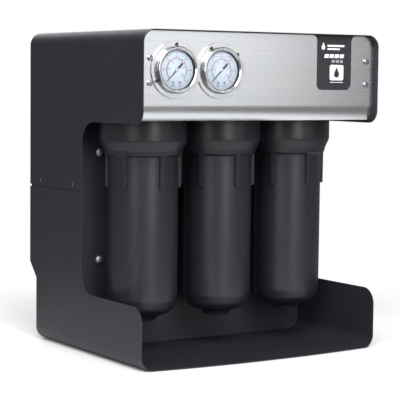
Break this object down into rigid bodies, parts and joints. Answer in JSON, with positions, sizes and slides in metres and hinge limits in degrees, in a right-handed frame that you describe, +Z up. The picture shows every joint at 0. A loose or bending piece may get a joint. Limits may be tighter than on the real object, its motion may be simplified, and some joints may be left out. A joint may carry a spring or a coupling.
{
  "type": "reverse osmosis unit",
  "caption": "Free-standing water purifier: a bent-sheet case with a gauge panel above, round screw-on filter housings in an open bay and a drip tray below.",
  "frame": {"origin": "centre of the footprint, on the surface it stands on", "axes": "+Z up, front faces -Y, +X to the right seen from the front"},
  "size_m": [0.436, 0.376, 0.501],
  "materials": {
    "powder_coat": "fine-textured dark grey powder coat, satin",
    "stainless": "brushed along its length",
    "polished_steel": "polished",
    "zinc_screw": "zinc plated, satin",
    "black_screw": "blackened",
    "zinc_sheet": "zinc plated sheet",
    "label": "printed film on the shell's colour",
    "glass": "clear, polished",
    "dial": "white, printed scale",
    "needle": "black, satin",
    "housing": "black polypropylene, satin moulded",
    "rubber": "black nitrile rubber",
    "filter_media": "white filter media and wrap",
    "motor_paint": "grey, satin",
    "brass": "machined",
    "fitting": "white acetal",
    "tube": "white polyethylene hose",
    "black_plastic": "black, fine texture"
  },
  "bodies": {
    "case": {"base_shell": "powder_coat", "concentrate_hose": "tube", "concentrate_valve": "brass", "controller_box": "black_plastic", "drain_port": "fitting", "feed_hose": "tube", "feed_port": "fitting", "front_panel": "stainless", "front_panel_screw_1": "zinc_screw", "front_panel_screw_2": "zinc_screw", "front_panel_screw_3": "zinc_screw", "front_panel_screw_4": "zinc_screw", "gauge_1_bezel": "polished_steel", "gauge_1_case": "polished_steel", "gauge_1_dial": "dial", "gauge_1_lens": "glass", "gauge_2_bezel": "polished_steel", "gauge_2_case": "polished_steel", "gauge_2_dial": "dial", "gauge_2_lens": "glass", "gauge_screw_1": "black_screw", "gauge_screw_2": "black_screw", "gauge_screw_3": "black_screw", "gauge_screw_4": "black_screw", "head_1": "housing", "head_2": "housing", "head_3": "housing", "head_carrier": "zinc_sheet", "inlet_valve": "brass", "label_plate": "label", "motor_housing": "motor_paint", "partition_panel": "powder_coat", "partition_screw_1": "zinc_screw", "partition_screw_2": "zinc_screw", "partition_screw_3": "zinc_screw", "partition_screw_4": "zinc_screw", "permeate_hose": "tube", "power_inlet": "black_plastic", "pressure_hose": "tube", "product_hose": "tube", "product_port": "fitting", "pump_body": "brass", "pump_cradle": "motor_paint", "rear_panel": "powder_coat", "seal_ring_1": "rubber", "seal_ring_2": "rubber", "seal_ring_3": "rubber", "suction_hose": "tube", "upper_shell": "powder_coat"},
    "needle_1": {"gauge_1_needle": "needle"},
    "needle_2": {"gauge_2_needle": "needle"},
    "cartridge_1": {"carbon_block_cartridge": "filter_media"},
    "cartridge_2": {"membrane_element": "filter_media"},
    "cartridge_3": {"polishing_cartridge": "filter_media"},
    "sump_1": {"sump_1": "housing"},
    "sump_2": {"sump_2": "housing"},
    "sump_3": {"sump_3": "housing"},
    "valve_knob": {"concentrate_valve_knob": "black_plastic"},
    "switch_rocker": {"power_switch_rocker": "black_plastic"},
    "rotor": {"motor_rotor": "polished_steel"}
  },
  "joints": [
    {"name": "needle_1_swing", "type": "hinge", "parent": "case", "child": "needle_1", "pos_m": [-0.157, -0.164, 0.442], "axis": [0, 1, 0], "range_deg": [0, 270], "stiffness_Nm_per_rad": 0.002},
    {"name": "needle_2_swing", "type": "hinge", "parent": "case", "child": "needle_2", "pos_m": [-0.078, -0.164, 0.442], "axis": [0, 1, 0], "range_deg": [0, 270], "stiffness_Nm_per_rad": 0.002},
    {"name": "cartridge_1_drop", "type": "slide", "parent": "case", "child": "cartridge_1", "axis": [0, 0, -1], "range_m": [0, 0.0181]},
    {"name": "sump_1_unscrew", "type": "hinge", "parent": "cartridge_1", "child": "sump_1", "pos_m": [-0.138, -0.0415, 0.06], "axis": [0, 0, -1], "range_deg": [0, 1080]},
    {"name": "cartridge_2_drop", "type": "slide", "parent": "case", "child": "cartridge_2", "axis": [0, 0, -1], "range_m": [0, 0.0181]},
    {"name": "sump_2_unscrew", "type": "hinge", "parent": "cartridge_2", "child": "sump_2", "pos_m": [0, -0.0415, 0.06], "axis": [0, 0, -1], "range_deg": [0, 1080]},
    {"name": "cartridge_3_drop", "type": "slide", "parent": "case", "child": "cartridge_3", "axis": [0, 0, -1], "range_m": [0, 0.0181]},
    {"name": "sump_3_unscrew", "type": "hinge", "parent": "cartridge_3", "child": "sump_3", "pos_m": [0.138, -0.0415, 0.06], "axis": [0, 0, -1], "range_deg": [0, 1080]},
    {"name": "valve_knob_turn", "type": "hinge", "parent": "case", "child": "valve_knob", "pos_m": [0.168, 0.165, 0.057], "axis": [0, 1, 0], "range_deg": [-360, 720]},
    {"name": "power_switch_tilt", "type": "hinge", "parent": "case", "child": "switch_rocker", "pos_m": [0.004, 0.162, 0.057], "axis": [-1, 0, 0], "range_deg": [0, 15]},
    {"name": "rotor_spin", "type": "hinge", "parent": "case", "child": "rotor", "pos_m": [0, 0.087, 0.078], "axis": [1, 0, 0], "continuous": true}
  ],
  "couplings": [
    {"joint": "cartridge_1_drop", "follows": "sump_1_unscrew", "m_per_rad": 0.00095493},
    {"joint": "cartridge_2_drop", "follows": "sump_2_unscrew", "m_per_rad": 0.00095493},
    {"joint": "cartridge_3_drop", "follows": "sump_3_unscrew", "m_per_rad": 0.00095493}
  ]
}
